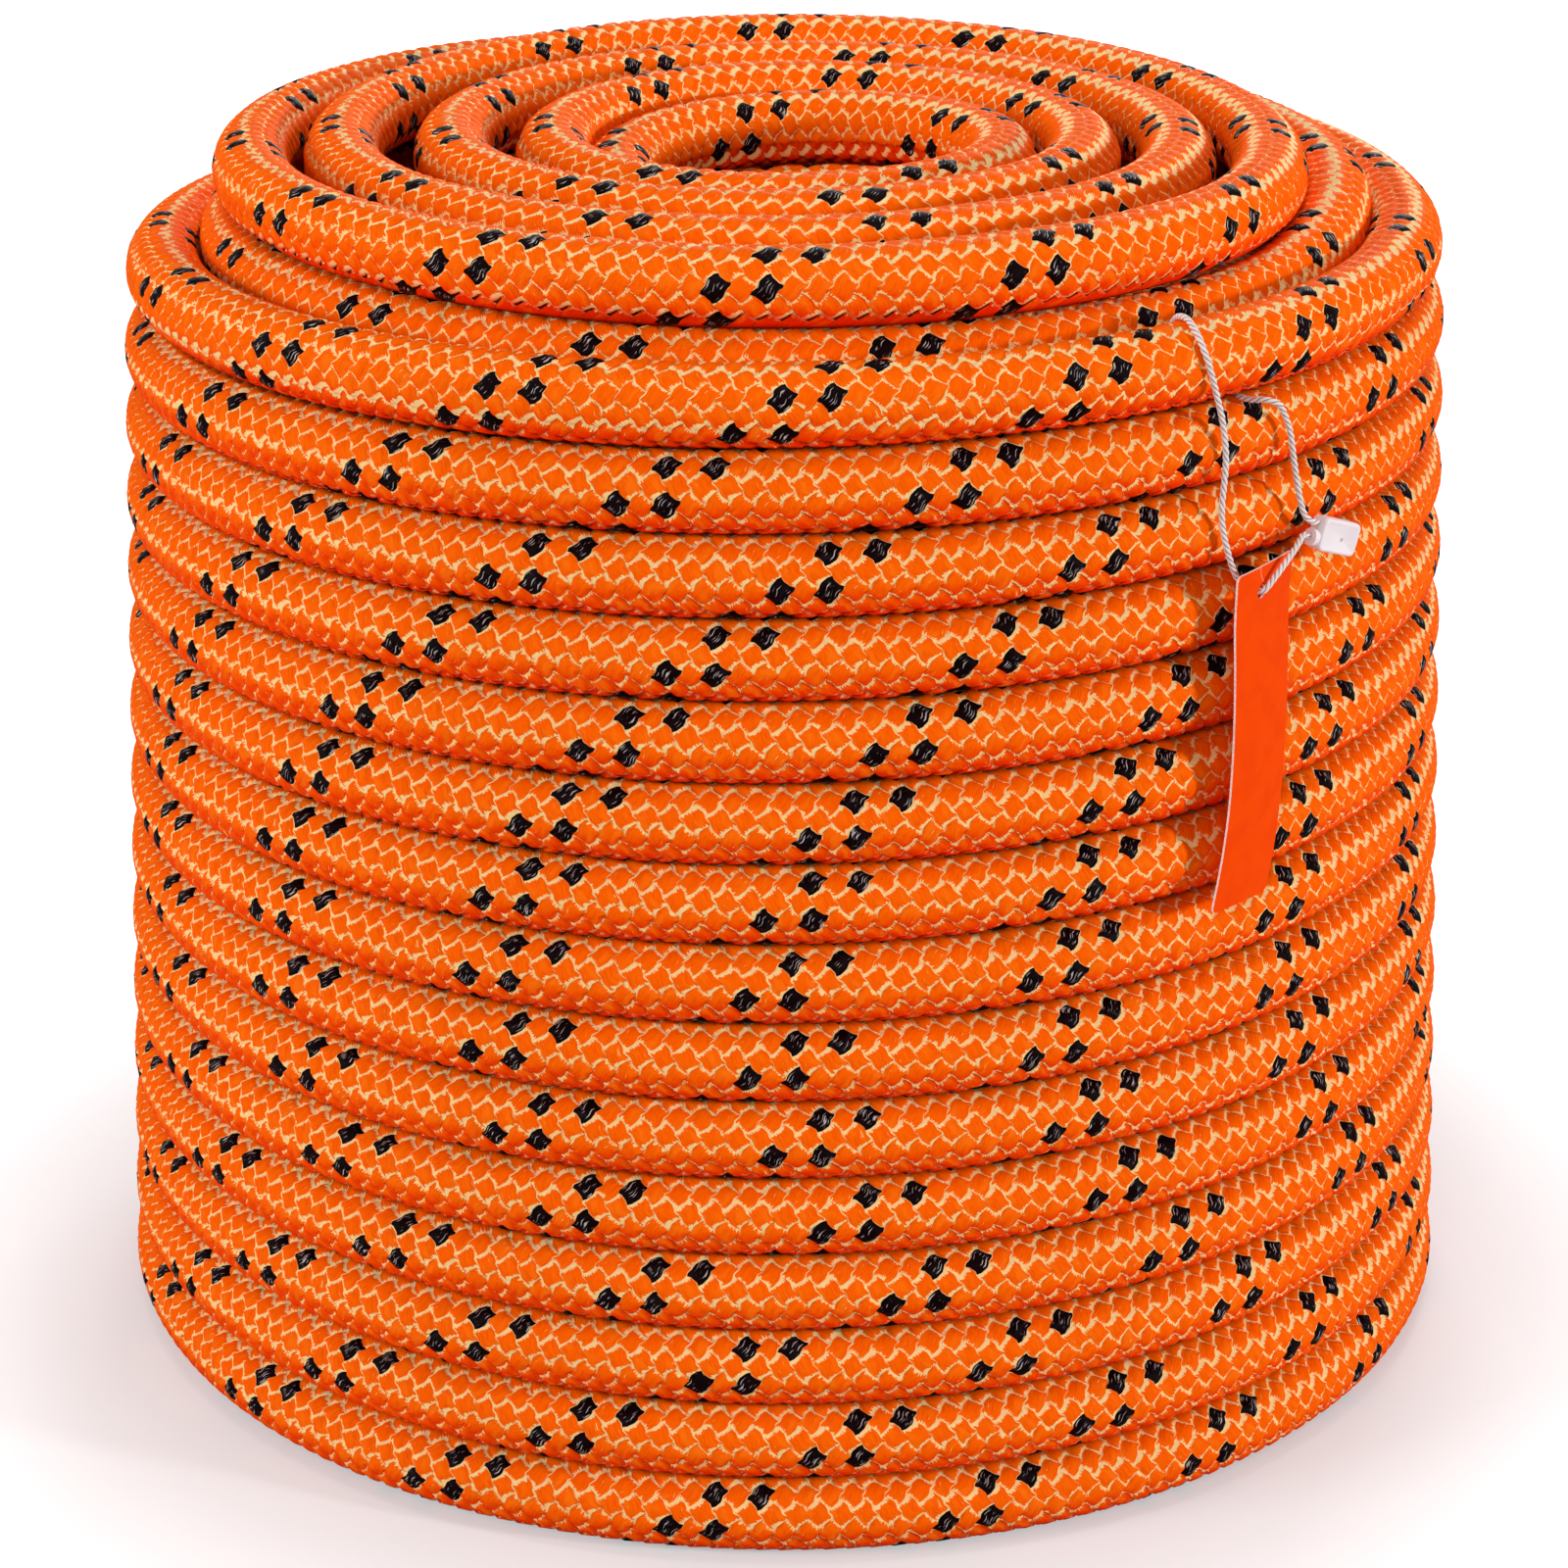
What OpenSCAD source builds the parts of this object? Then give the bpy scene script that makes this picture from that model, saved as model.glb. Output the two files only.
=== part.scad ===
// Coil of braided rope with a plain swing tag.
// The rope climbs a slightly tapered wall turn by turn, tucks one turn under the crown,
// spirals inwards over the top and dives into the open middle.
// Origin: centre of the foot of the coil, +Z up. The front of the coil faces -Y.

/* [Rope] */
// Diameter of the rope
rope_d = 12.7; // [12:0.1:13.5]
// Slack between one turn and the next
turn_slack = 0.5; // [0.3:0.1:1]
// Thickness of the braided cover round the core
cover_wall = 1.3; // [0.8:0.1:2]

/* [Coil] */
// Outside diameter at the foot
coil_d = 240.7; // [230:0.1:280]
// How much the wall leans in between foot and crown
wall_lean = 8; // [4:0.5:12]
// Turns up the wall before the crown
wall_turns = 14; // [6:1:16]
// Share of a turn in which a level turn steps up to the next
step_share = 0.24; // [0.2:0.01:0.4]
// Share of a turn in which the outer winding leaves the layer under it
start_share = 0.14; // [0.12:0.01:0.2]

/* [Inner layers] */
// Running gap between the outer winding and the layers inside it
layer_gap = 0.3; // [0.2:0.05:0.6]
// Gap between the rope's tail and the wall of the open middle
tail_gap = 2.2; // [1:0.1:4]

/* [Rope ends] */
// Radius of the bend with which the outer end turns down
dive_bend_r = 28; // [26:1:34]
// Length of each cut end
end_l = 14; // [10:1:20]
// Thickness of the fused tip
tip_l = 2.6; // [1.5:0.1:4]
// Clearance between core and cover at a cut end
core_play = 0.05; // [0.02:0.01:0.1]

/* [Tag] */
// Direction of the tag round the coil, measured from +X
tag_azimuth = -54; // [-60:1:-48]
// Width of the tag
tag_w = 15; // [12:0.5:18]
// Height of the tag
tag_h = 54; // [40:1:70]
// Thickness of the tag
tag_t = 0.5; // [0.3:0.1:0.8]
// Radius of the tag's corners
tag_corner_r = 0.8; // [0.2:0.1:2]
// Diameter of the hole for the string
tag_hole_d = 3.2; // [2.6:0.1:4]
// Distance from the hole's centre to the tag's upper edge
tag_hole_drop = 4; // [3:0.1:6]
// Turn of the tag about the vertical, away from the wall's tangent
tag_yaw = 16.6; // [10:0.1:20]
// Lean of the tag, lower edge outwards
tag_lean = 2; // [1:0.1:4]
// Roll of the tag in its own plane
tag_roll = -4.7; // [-8:0.1:0]

/* [String and seal] */
// Diameter of the string
string_d = 1; // [0.8:0.05:1.1]
// Clearance of the string from what it passes
string_gap = 0.3; // [0.2:0.05:0.4]
// Gap in the string where its legs swing
swing_gap = 0.9; // [0.8:0.05:0.95]
// Length of the seal's housing
seal_l = 8.2; // [7:0.1:11]
// Height of the seal's housing
seal_h = 5.4; // [4.4:0.1:6]
// Thickness of the seal's housing
seal_t = 3.2; // [3:0.1:4]
// Diameter of the plug's pin
plug_d = 1.8; // [1.4:0.1:2]
// Clearance of the pin in its socket
plug_play = 0.1; // [0.05:0.01:0.15]
// Depth to which the pin reaches
plug_l = 6; // [4:0.5:6.5]

/* [Hidden] */

rope_orange = [1, 0.4, 0.05];
core_white = [0.93, 0.9, 0.86];
tip_dark = [0.55, 0.2, 0.05];
tag_orange = [1, 0.3, 0];
string_white = [0.95, 0.9, 0.88];

rope_r = rope_d / 2;
pitch = rope_d + turn_slack;
sides = 6;
rings_per_turn = 24;
flat_r = rope_r * cos(180 / sides);
chord = cos(180 / rings_per_turn);
foot_r = coil_d / 2 - rope_r;
wall_h = (wall_turns + 1) * pitch;

// Crown: [turns past the wall, steps in from the wall, steps up from the last wall turn],
// both steps in rope pitches. One tucked turn, then the spiral, then the tail's ring.
CROWN = [
    [0.00, 0.00, 0.00], [0.25, 0.04, 0.31], [0.50, 0.03, 0.50], [0.75, 0.06, 0.70],
    [1.00, 0.12, 0.95], [1.08, 0.34, 1.01], [1.12, 0.51, 1.05], [1.18, 0.74, 0.77],
    [1.25, 0.98, 0.64], [1.50, 1.09, 0.64], [1.62, 1.09, 0.66], [1.67, 1.03, 0.74],
    [1.75, 0.97, 1.10], [2.00, 0.99, 1.26], [2.08, 1.18, 1.44], [2.15, 1.29, 1.55],
    [2.25, 1.21, 1.58], [2.50, 1.12, 1.58], [2.62, 1.40, 1.59], [2.75, 1.86, 1.58],
    [3.00, 2.04, 1.72], [3.25, 2.35, 1.60], [3.50, 2.55, 1.58], [3.75, 3.00, 1.58],
    [4.00, 3.20, 1.57], [4.25, 3.76, 1.58], [4.50, 3.90, 1.58], [4.75, 4.22, 1.58],
    [5.00, 4.52, 1.56], [5.25, 5.08, 1.51], [5.50, 5.20, 1.48], [5.75, 5.27, 1.48],
    [6.00, 5.62, 1.37], [6.25, 5.92, 1.18], [6.50, 6.10, 0.92], [6.75, 6.12, 0.66],
    [7.00, 6.12, 0.46]];
crown_turns = CROWN[len(CROWN) - 1][0];
all_turns = wall_turns + crown_turns;

function ease(x) = let(u = min(max(x, 0), 1)) u * u * (3 - 2 * u);
function wall_r(z) = foot_r - wall_lean * z / wall_h;

// Height of the wall's turns: level at the foot, a steady helix towards the crown
function level_steps(t) = t < 0.5 ? 0 : let(n = round(t)) n - 1 + ease((t - n) / step_share + 0.5);
function helix_share(t) = min(max((t - 1) / wall_turns, 0), 1);
function wall_steps(t) =
    let(w = helix_share(t)) (1 - w) * level_steps(t) + w * (t - 0.5);
function wall_z(t) = flat_r + pitch * wall_steps(t);

// Smooth curve through the crown's rows
function row_at(t, i = 0) = i >= len(CROWN) - 2 || t < CROWN[i + 1][0] ? i : row_at(t, i + 1);
function row_slope(i, c) =
    let(a = max(i - 1, 0), b = min(i + 1, len(CROWN) - 1))
    (CROWN[b][c] - CROWN[a][c]) / (CROWN[b][0] - CROWN[a][0]);
function crown_value(t, c) =
    let(i = row_at(t), h = CROWN[i + 1][0] - CROWN[i][0], u = (t - CROWN[i][0]) / h)
    (1 + 2 * u) * pow(1 - u, 2) * CROWN[i][c] + u * pow(1 - u, 2) * h * row_slope(i, c)
    + pow(u, 2) * (3 - 2 * u) * CROWN[i + 1][c] + pow(u, 2) * (u - 1) * h * row_slope(i + 1, c);

crown_foot_z = wall_z(wall_turns);
crown_foot_r = wall_r(crown_foot_z);
function crown_r(steps_in) = crown_foot_r - pitch * steps_in;
function crown_z(steps_up) = crown_foot_z + pitch * steps_up;

// Radius and height of the rope's centre line after t turns
function line_r(t) = t < wall_turns
    ? wall_r(wall_z(t)) - pitch * (1 - ease(t / start_share))
    : crown_r(crown_value(t - wall_turns, 1));
function line_z(t) = t < wall_turns ? wall_z(t) : crown_z(crown_value(t - wall_turns, 2));
function polar(r, a, z) = [r * cos(a), r * sin(a), z];
function turn_angle(t) = 90 + 360 * t;

// The tail bends straight down from the last ring
tail_r = line_r(all_turns);
tail_z = line_z(all_turns);
function dive_point(a) = polar(tail_r,
    turn_angle(all_turns) + dive_bend_r * sin(a) / tail_r * 180 / PI, tail_z - dive_bend_r * (1 - cos(a)));
dive_steps = 9;
tail_end = dive_point(90) - [0, 0, rope_d];

start_run = [[rope_d, line_r(0), line_z(0)], [rope_d / 2, line_r(0), line_z(0)]];
ring_line = [for (i = [0 : rings_per_turn * all_turns])
    let(t = i / rings_per_turn) polar(line_r(t), turn_angle(t), line_z(t))];
dive = [for (i = [1 : dive_steps]) dive_point(90 * i / dive_steps)];
rope_line = concat(start_run, ring_line, dive, [tail_end + [0, 0, rope_d / 2], tail_end]);

// Least gap between turns that lie over or beside each other, measured section by section
function flat_gap(dr, dz) =
    max(abs(dz), abs(dr * cos(30) + dz * sin(30)), abs(dr * cos(30) - dz * sin(30))) - 2 * flat_r;
function gap_at(i, m) = let(a = i / rings_per_turn, b = a + m)
    flat_gap(line_r(b) - line_r(a), line_z(b) - line_z(a));
gaps = [for (m = [1 : 3], i = [0 : rings_per_turn * (all_turns - m)]) [gap_at(i, m), i / rings_per_turn, m]];
dive_gaps = [for (p = dive, q = [for (i = [0 : len(ring_line) - 10]) ring_line[i]])
    if (norm(p - q) < 3 * rope_d) norm(p - q) - rope_d];
least_gap = min([for (g = gaps) g[0]]);
echo(least_self_gap_mm = min(least_gap, min(dive_gaps)), turns = all_turns);

// Sweep of a round section along a line of points
function unit(v) = v / norm(v);
function heading(p, i) = unit(p[min(i + 1, len(p) - 1)] - p[max(i - 1, 0)]);
function outward(p, h) = let(o = unit([p[0], p[1], 0])) unit(o - (o * h) * h);
function ring_points(c, h, o, r, n) =
    let(b = cross(h, o)) [for (k = [0 : n - 1]) c + r * (cos(360 * k / n) * o + sin(360 * k / n) * b)];
function tube_faces(rings, n) = concat(
    [for (k = [1 : n - 2]) [0, k + 1, k]],
    [for (i = [0 : rings - 2], k = [0 : n - 1])
        let(a = i * n + k, b = i * n + (k + 1) % n) [a, b, b + n]],
    [for (i = [0 : rings - 2], k = [0 : n - 1])
        let(a = i * n + k, b = i * n + (k + 1) % n) [a, b + n, a + n]],
    [for (k = [1 : n - 2]) let(e = (rings - 1) * n) [e, e + k, e + k + 1]]);
module tube(points, outs, r, n) {
    polyhedron(
        points = [for (i = [0 : len(points) - 1])
            each ring_points(points[i], heading(points, i), outs[i], r, n)],
        faces = tube_faces(len(points), n));
}

// ---- rope ----
module rope_outer_winding() {
    outs = [for (i = [0 : len(rope_line) - 1]) outward(rope_line[i], heading(rope_line, i))];
    color(rope_orange) tube(rope_line, outs, rope_r, sides);
}

// Profile of the layers under the outer winding and the crown
function backing_r(r) = (r - rope_r) * chord - layer_gap;
hole_r = tail_r + rope_r + tail_gap;
tuck_steps_in = 1.09;
tuck_steps_up = 0.64;
crown_steps_up = 1.56;
shoulder_z = crown_z(tuck_steps_up) - flat_r - layer_gap;
top_z = crown_z(crown_steps_up) - flat_r - layer_gap;
step_r = backing_r(crown_r(tuck_steps_in));
rim_steps = 1.7;
rim_r = hole_r + rim_steps * pitch;
rim_drop = pitch;

start_notch_h = 2 * flat_r + layer_gap;
start_notch_r = (line_r(0) - rope_r) * chord - layer_gap;
notch_ease = 6;
start_notch_sweep = 360 * start_share + notch_ease;
module start_notch() {
    far = coil_d;
    end_a = turn_angle(0) + start_notch_sweep;
    difference() {
        translate([0, 0, -1]) linear_extrude(start_notch_h + 1)
            polygon([[0, 0], [rope_d, 0], [rope_d, far], [-far, far], far * [cos(end_a), sin(end_a)]]);
        translate([0, 0, -2]) cylinder(r = start_notch_r, h = start_notch_h + 4, $fn = 96);
    }
}

// Pocket in which the inner end lies, under the crown
inner_end_r = hole_r + rope_r + layer_gap;
inner_end_steps_up = 0.34;
inner_end_z = crown_z(inner_end_steps_up);
inner_end_azimuth = 80;
module at_inner_end() {
    rotate(inner_end_azimuth) translate([inner_end_r, 0, inner_end_z]) children();
}
module inner_end_pocket() {
    side = rope_r + layer_gap;
    run = end_l + tip_l + layer_gap;
    at_inner_end() translate([-side - rope_d, -run, -side]) cube([rope_d + 2 * side, run, top_z]);
}

module rope_inner_layers() {
    color(rope_orange) difference() {
        rotate_extrude($fn = 96) polygon([
            [hole_r, 0], [backing_r(wall_r(0)), 0], [backing_r(wall_r(shoulder_z)), shoulder_z],
            [step_r, shoulder_z], [step_r, top_z], [rim_r, top_z], [hole_r, top_z - rim_drop]]);
        start_notch();
        inner_end_pocket();
        string_pocket();
    }
}

// ---- cut ends of the rope, each along its own +Z ----
dome_r = 1.6 * rope_r;
module end_cover() {
    color(rope_orange) difference() {
        cylinder(r = rope_r, h = end_l, $fn = 48);
        translate([0, 0, -1]) cylinder(r = rope_r - cover_wall, h = end_l + 2, $fn = 48);
    }
}
module end_core() {
    color(core_white) cylinder(r = rope_r - cover_wall - core_play, h = end_l, $fn = 48);
}
module end_tip() {
    color(tip_dark) translate([0, 0, end_l]) intersection() {
        cylinder(r = rope_r, h = tip_l, $fn = 48);
        translate([0, 0, tip_l - dome_r]) sphere(r = dome_r, $fn = 48);
    }
}
module at_outer_end() {
    translate(tail_end) rotate([180, 0, 0]) children();
}
module along_tangent() {
    rotate([90, 0, 0]) children();
}
module outer_end_cover() {
    at_outer_end() end_cover();
}
module outer_end_core() {
    at_outer_end() end_core();
}
module outer_end_fused_tip() {
    at_outer_end() end_tip();
}
module inner_end_cover() {
    at_inner_end() along_tangent() end_cover();
}
module inner_end_core() {
    at_inner_end() along_tangent() end_core();
}
module inner_end_fused_tip() {
    at_inner_end() along_tangent() end_tip();
}

// ---- tag, string and seal ----
// Own frame: +X outwards from the wall, +Y round the coil, +Z up, at the turn that holds the string
string_r = string_d / 2;
held_t = wall_turns + (tag_azimuth + 90) / 360 + 0.5;
// The winding is drawn with straight sides, so its turns lie a little inside their own line
held_r = line_r(held_t) * chord;
held_z = line_z(held_t);
off = string_r + string_gap;
under_z = held_z - pitch / 2;
loop_slack = 0.4;
swing_r = wall_r(under_z) + rope_r + off + loop_slack;
swing_z = under_z - string_r;
module at_tag() {
    rotate(tag_azimuth) children();
}

// Places of the legs, the hole and the seal, given from the line about which the legs swing
left_y = 0.2;
right_y = 12.6;
hole_out = 3.6;
hole_y = 5.7;
hole_drop = 27;
hole_x = swing_r + hole_out;
hole_z = swing_z - hole_drop;
seal_out = 2;
seal_y = 22.6;
seal_drop = 21.5;
seal_x = swing_r + seal_out;
seal_z = swing_z - seal_drop;
seal_tilt = -19;
cord_sides = 8;

LOOP = [
    [swing_r, right_y, swing_z], [swing_r - 0.2, right_y - 0.9, swing_z + 0.9],
    [swing_r - 1.2, right_y - 2.2, under_z + 0.7], [held_r + 5.4, 8.2, under_z + 0.1],
    [held_r + 3, 6.4, under_z], [held_r - 2, 5, under_z], [held_r - 5.6, 4.2, under_z + 1.5],
    [held_r - 7.3, 3.4, held_z - 1.6], [held_r - 7.2, 2.8, held_z - 0.4],
    [held_r - 6.87, 2.3, held_z + 0.55], [held_r - 6.2, 1.6, held_z + 1.9],
    [held_r - 5.2, 0.6, held_z + 4.2], [held_r - 3.6, -1, held_z + 6.6],
    [held_r + 0.9, -3, held_z + 8.1], [held_r + 4.4, -4.1, held_z + 7.3],
    [held_r + 7.65, -4, held_z + 3.2], [held_r + 8.1, -2.8, held_z - 1],
    [held_r + 8.6, -1.2, held_z - 4.2], [swing_r, left_y, swing_z]];

LEFT_LEG = [
    [swing_r, left_y, swing_z - swing_gap], [swing_r + 0.5, 0.6, swing_z - 5],
    [swing_r + 0.8, 0.2, swing_z - 9], [swing_r + 0.9, -0.2, swing_z - 12.8],
    [swing_r + 1, 0.1, swing_z - 16.5], [swing_r + 1.2, 1.2, swing_z - 20.6],
    [swing_r + 1.5, 2.7, swing_z - 24.4], [swing_r + 2.2, 4.2, swing_z - 26.3],
    [hole_x - 0.8, hole_y - 0.3, hole_z + 0.1], [hole_x + 0.9, hole_y + 0.1, hole_z + 0.3],
    [hole_x + 1.1, hole_y + 1.2, hole_z + 1.2], [hole_x + 0.8, hole_y + 3.6, hole_z + 3],
    [hole_x + 0.2, hole_y + 6.2, hole_z + 4.7], [hole_x - 0.7, hole_y + 8.6, hole_z + 6]];

RIGHT_LEG = [
    [swing_r, right_y, swing_z - swing_gap], [swing_r + 0.3, 13.9, swing_z - 3.4],
    [swing_r + 0.6, 14.6, swing_z - 7.6], [swing_r + 0.9, 15.3, swing_z - 11.7],
    [swing_r + 1.3, 16, swing_z - 15.3], [swing_r + 1.7, 16.6, swing_z - 17.2]];

// Points where the legs meet the seal, on the face of its upper left end
module at_seal() {
    at_tag() translate([seal_x, seal_y, seal_z]) rotate([seal_tilt, 0, 0]) children();
}
function seal_point(p) = [seal_x + p[0],
    seal_y + p[1] * cos(seal_tilt) - p[2] * sin(seal_tilt),
    seal_z + p[1] * sin(seal_tilt) + p[2] * cos(seal_tilt)];
plug_row = -0.9;
leg_row = 1.5;
flange_l = 1;
// Each leg meets the seal squarely, after a short straight run
square_run = 1.5;
end_play = 0.05;
function seal_end(y, row) = [seal_point([0, y - square_run, row]), seal_point([0, y - end_play, row])];
left_end = seal_end(-seal_l / 2 - flange_l, plug_row);
right_end = seal_end(-seal_l / 2, leg_row);

function side_of(p, i) = let(h = heading(p, i), s = cross([0.3, 0.2, 1], h)) unit(s);
function turned(points) = [for (p = points)
    [p[0] * cos(tag_azimuth) - p[1] * sin(tag_azimuth), p[0] * sin(tag_azimuth) + p[1] * cos(tag_azimuth), p[2]]];
// Sections are carried along the line, so that they don't twist where it turns
function carry(points, i, last) = i >= len(points) ? [] :
    let(h = heading(points, i), o = unit(last - (last * h) * h)) concat([o], carry(points, i + 1, o));
module string_tube(points) {
    line = turned(points);
    first = side_of(line, 0);
    tube(line, carry(line, 0, first), string_r, cord_sides);
}

pocket_w = 8;
module string_pocket() {
    at_tag() translate([held_r - rope_r - 3, 0, under_z - string_r - layer_gap])
        cube([rope_r, pocket_w, pitch]);
}
module tag_string_loop() {
    color(string_white) string_tube(LOOP);
}
module tag_string_legs() {
    color(string_white) {
        string_tube(concat(LEFT_LEG, left_end));
        string_tube(concat(RIGHT_LEG, right_end));
    }
}

// Share of the tag's width on the near side of its hole
hole_share = 0.4;
module tag_card() {
    color(tag_orange) at_tag() translate([hole_x, hole_y, hole_z])
        rotate([0, 0, tag_yaw]) rotate([0, -tag_lean, 0]) rotate([tag_roll, 0, 0])
        rotate([90, 0, 90]) translate([0, 0, -tag_t / 2]) linear_extrude(tag_t)
        difference() {
            translate([-tag_w * hole_share, tag_hole_drop - tag_h]) rounded_plate(tag_w, tag_h, tag_corner_r);
            circle(d = tag_hole_d, $fn = 32);
        }
}
module rounded_plate(w, h, r) {
    translate([r, 0]) square([w - 2 * r, h]);
    translate([0, r]) square([w, h - 2 * r]);
    for (x = [r, w - r], y = [r, h - r]) translate([x, y]) circle(r = r, $fn = 24);
}

module seal_housing() {
    color(string_white) at_seal() difference() {
        translate([-seal_t / 2, -seal_l / 2, -seal_h / 2]) cube([seal_t, seal_l, seal_h]);
        translate([0, -seal_l / 2 - 1, plug_row]) rotate([-90, 0, 0])
            cylinder(d = plug_d + 2 * plug_play, h = plug_l + 1 + plug_play, $fn = 24);
    }
}
module seal_plug() {
    color(string_white) at_seal() translate([0, -seal_l / 2, plug_row]) rotate([-90, 0, 0]) {
        translate([0, 0, -flange_l]) cylinder(d = plug_d + 1, h = flange_l, $fn = 24);
        cylinder(d = plug_d, h = plug_l, $fn = 24);
    }
}

rope_outer_winding();
rope_inner_layers();
outer_end_cover();
outer_end_core();
outer_end_fused_tip();
inner_end_cover();
inner_end_core();
inner_end_fused_tip();
tag_card();
tag_string_loop();
tag_string_legs();
seal_housing();
seal_plug();
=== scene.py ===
import math
import bpy
import numpy as np
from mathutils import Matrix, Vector


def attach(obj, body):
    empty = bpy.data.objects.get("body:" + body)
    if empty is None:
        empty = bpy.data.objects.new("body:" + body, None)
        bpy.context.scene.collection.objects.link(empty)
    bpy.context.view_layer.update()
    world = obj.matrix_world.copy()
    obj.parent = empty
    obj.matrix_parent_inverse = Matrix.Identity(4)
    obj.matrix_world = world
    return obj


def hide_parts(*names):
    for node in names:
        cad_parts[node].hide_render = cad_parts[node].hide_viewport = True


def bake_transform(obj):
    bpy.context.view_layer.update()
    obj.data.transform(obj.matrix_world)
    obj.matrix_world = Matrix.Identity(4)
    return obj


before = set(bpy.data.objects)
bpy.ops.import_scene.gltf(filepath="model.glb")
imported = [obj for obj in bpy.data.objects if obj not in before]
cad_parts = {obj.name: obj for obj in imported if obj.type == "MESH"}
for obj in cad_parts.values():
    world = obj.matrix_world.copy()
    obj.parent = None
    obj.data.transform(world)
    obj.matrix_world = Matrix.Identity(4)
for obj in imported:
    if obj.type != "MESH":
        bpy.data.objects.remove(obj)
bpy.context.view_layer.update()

MM = 0.001
scene = bpy.context.scene
scene.view_settings.view_transform = "Standard"

# ---------------------------------------------------------------- camera, fitted to the photo
CAM_PLACE, CAM_LENS, CAM_DOWN = (0, -0.7275, 0.3702), 98.92, 0.368
cam_data = bpy.data.cameras.new("camera")
cam_data.sensor_width = 36
cam_data.lens = CAM_LENS
cam = bpy.data.objects.new("camera", cam_data)
cam.location = CAM_PLACE
cam.rotation_euler = (math.pi / 2 - CAM_DOWN, 0, 0)
scene.collection.objects.link(cam)
scene.camera = cam

# ---------------------------------------------------------------- the rope's line, as in the CAD source
# Lengths are in mm, angles in degrees; t counts turns from the start at the foot.
ROPE_D, PITCH, COIL_D = 12.7, 13.2, 240.7
ROPE_LENGTH = 45720.0
ROPE_R = ROPE_D / 2
FLAT_R = ROPE_D / 2 * math.cos(math.radians(30))  # to a flat side of the six-sided solid
LIFT = 1.08  # the round braid stands higher than the solid, which rests on its flat side
FOOT_R = COIL_D / 2 - ROPE_R
WALL_LEAN, WALL_TURNS, TURNS = 8, 14, 21
WALL_H = (WALL_TURNS + 1) * PITCH
STEP_SHARE, START_SHARE = 0.24, 0.14  # of a turn: the step up to the next turn, and the way out to the wall
START_AZ, OUTER_STEPS = 90, 96
DIVE_BEND, DIVE_STEPS, TAIL_L, TAIL_STEPS = 28.0, 25, 26.7, 8
END_L = 14.0
FACE_TURNS, FACE_UP = [13.6, 14.3, 15.2, 15.6, 16.0, 16.4], [0, 30, 45, 50, 60, 80]
# above the wall: turns after it, then how far in and how far up, both in pitches
CROWN = np.array([
    [0, 0, 0], [.25, .04, .31], [.5, .03, .5], [.75, .06, .7], [1, .12, .95], [1.08, .34, 1.01],
    [1.12, .51, 1.05], [1.18, .74, .77], [1.25, .98, .64], [1.5, 1.09, .64], [1.62, 1.09, .66],
    [1.67, 1.03, .74], [1.75, .97, 1.10], [2, .99, 1.26], [2.08, 1.18, 1.44], [2.15, 1.29, 1.55],
    [2.25, 1.21, 1.58], [2.5, 1.12, 1.58], [2.62, 1.4, 1.59], [2.75, 1.86, 1.58], [3, 2.04, 1.72],
    [3.25, 2.35, 1.6], [3.5, 2.55, 1.58], [3.75, 3, 1.58], [4, 3.2, 1.57], [4.25, 3.76, 1.58],
    [4.5, 3.9, 1.58], [4.75, 4.22, 1.58], [5, 4.52, 1.56], [5.25, 5.08, 1.51], [5.5, 5.2, 1.48],
    [5.75, 5.27, 1.48], [6, 5.62, 1.37], [6.25, 5.92, 1.18], [6.5, 6.1, .92], [6.75, 6.12, .66],
    [7, 6.12, .46]])


def ease(x):
    """0 to 1 with a soft start and end."""
    u = np.clip(x, 0, 1)
    return u * u * (3 - 2 * u)


def wall_r(z):
    return FOOT_R - WALL_LEAN * z / WALL_H


def wall_z(t):
    n = np.floor(t + 0.5)
    level = np.where(t < 0.5, 0, n - 1 + ease((t - n) / STEP_SHARE + 0.5))
    w = np.clip((t - 1) / WALL_TURNS, 0, 1)
    return FLAT_R + PITCH * ((1 - w) * level + w * (t - 0.5))


def crown_value(t, c):
    """Column c of CROWN at t turns after the wall, on a smooth curve through the rows."""
    k = CROWN[:, 0]
    i = np.clip(np.searchsorted(k, t, side="right") - 1, 0, len(k) - 2)
    lo, hi = np.clip(np.arange(len(k)) - 1, 0, None), np.clip(np.arange(len(k)) + 1, None, len(k) - 1)
    slope = (CROWN[hi, c] - CROWN[lo, c]) / (k[hi] - k[lo])
    h = k[i + 1] - k[i]
    u = (t - k[i]) / h
    return ((1 + 2 * u) * (1 - u) ** 2 * CROWN[i, c] + u * (1 - u) ** 2 * h * slope[i]
            + u ** 2 * (3 - 2 * u) * CROWN[i + 1, c] + u ** 2 * (u - 1) * h * slope[i + 1])


def outer_line(t):
    """Radius and height of the outer winding and the crown after t turns."""
    t = np.asarray(t, float)
    z0 = wall_z(np.array(float(WALL_TURNS)))
    r0 = wall_r(z0)
    tc = np.clip(t - WALL_TURNS, 0, CROWN[-1, 0])
    zw = wall_z(t)
    rw = wall_r(zw) - PITCH * (1 - ease(t / START_SHARE))
    on_wall = t < WALL_TURNS
    return (np.where(on_wall, rw, r0 - PITCH * crown_value(tc, 1)),
            np.where(on_wall, zw, z0 + PITCH * crown_value(tc, 2)))


def polar(r, deg, z):
    """Points from radius, azimuth and height."""
    a = np.radians(deg)
    return np.stack([r * np.cos(a), r * np.sin(a), z + 0 * a], -1)


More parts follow.
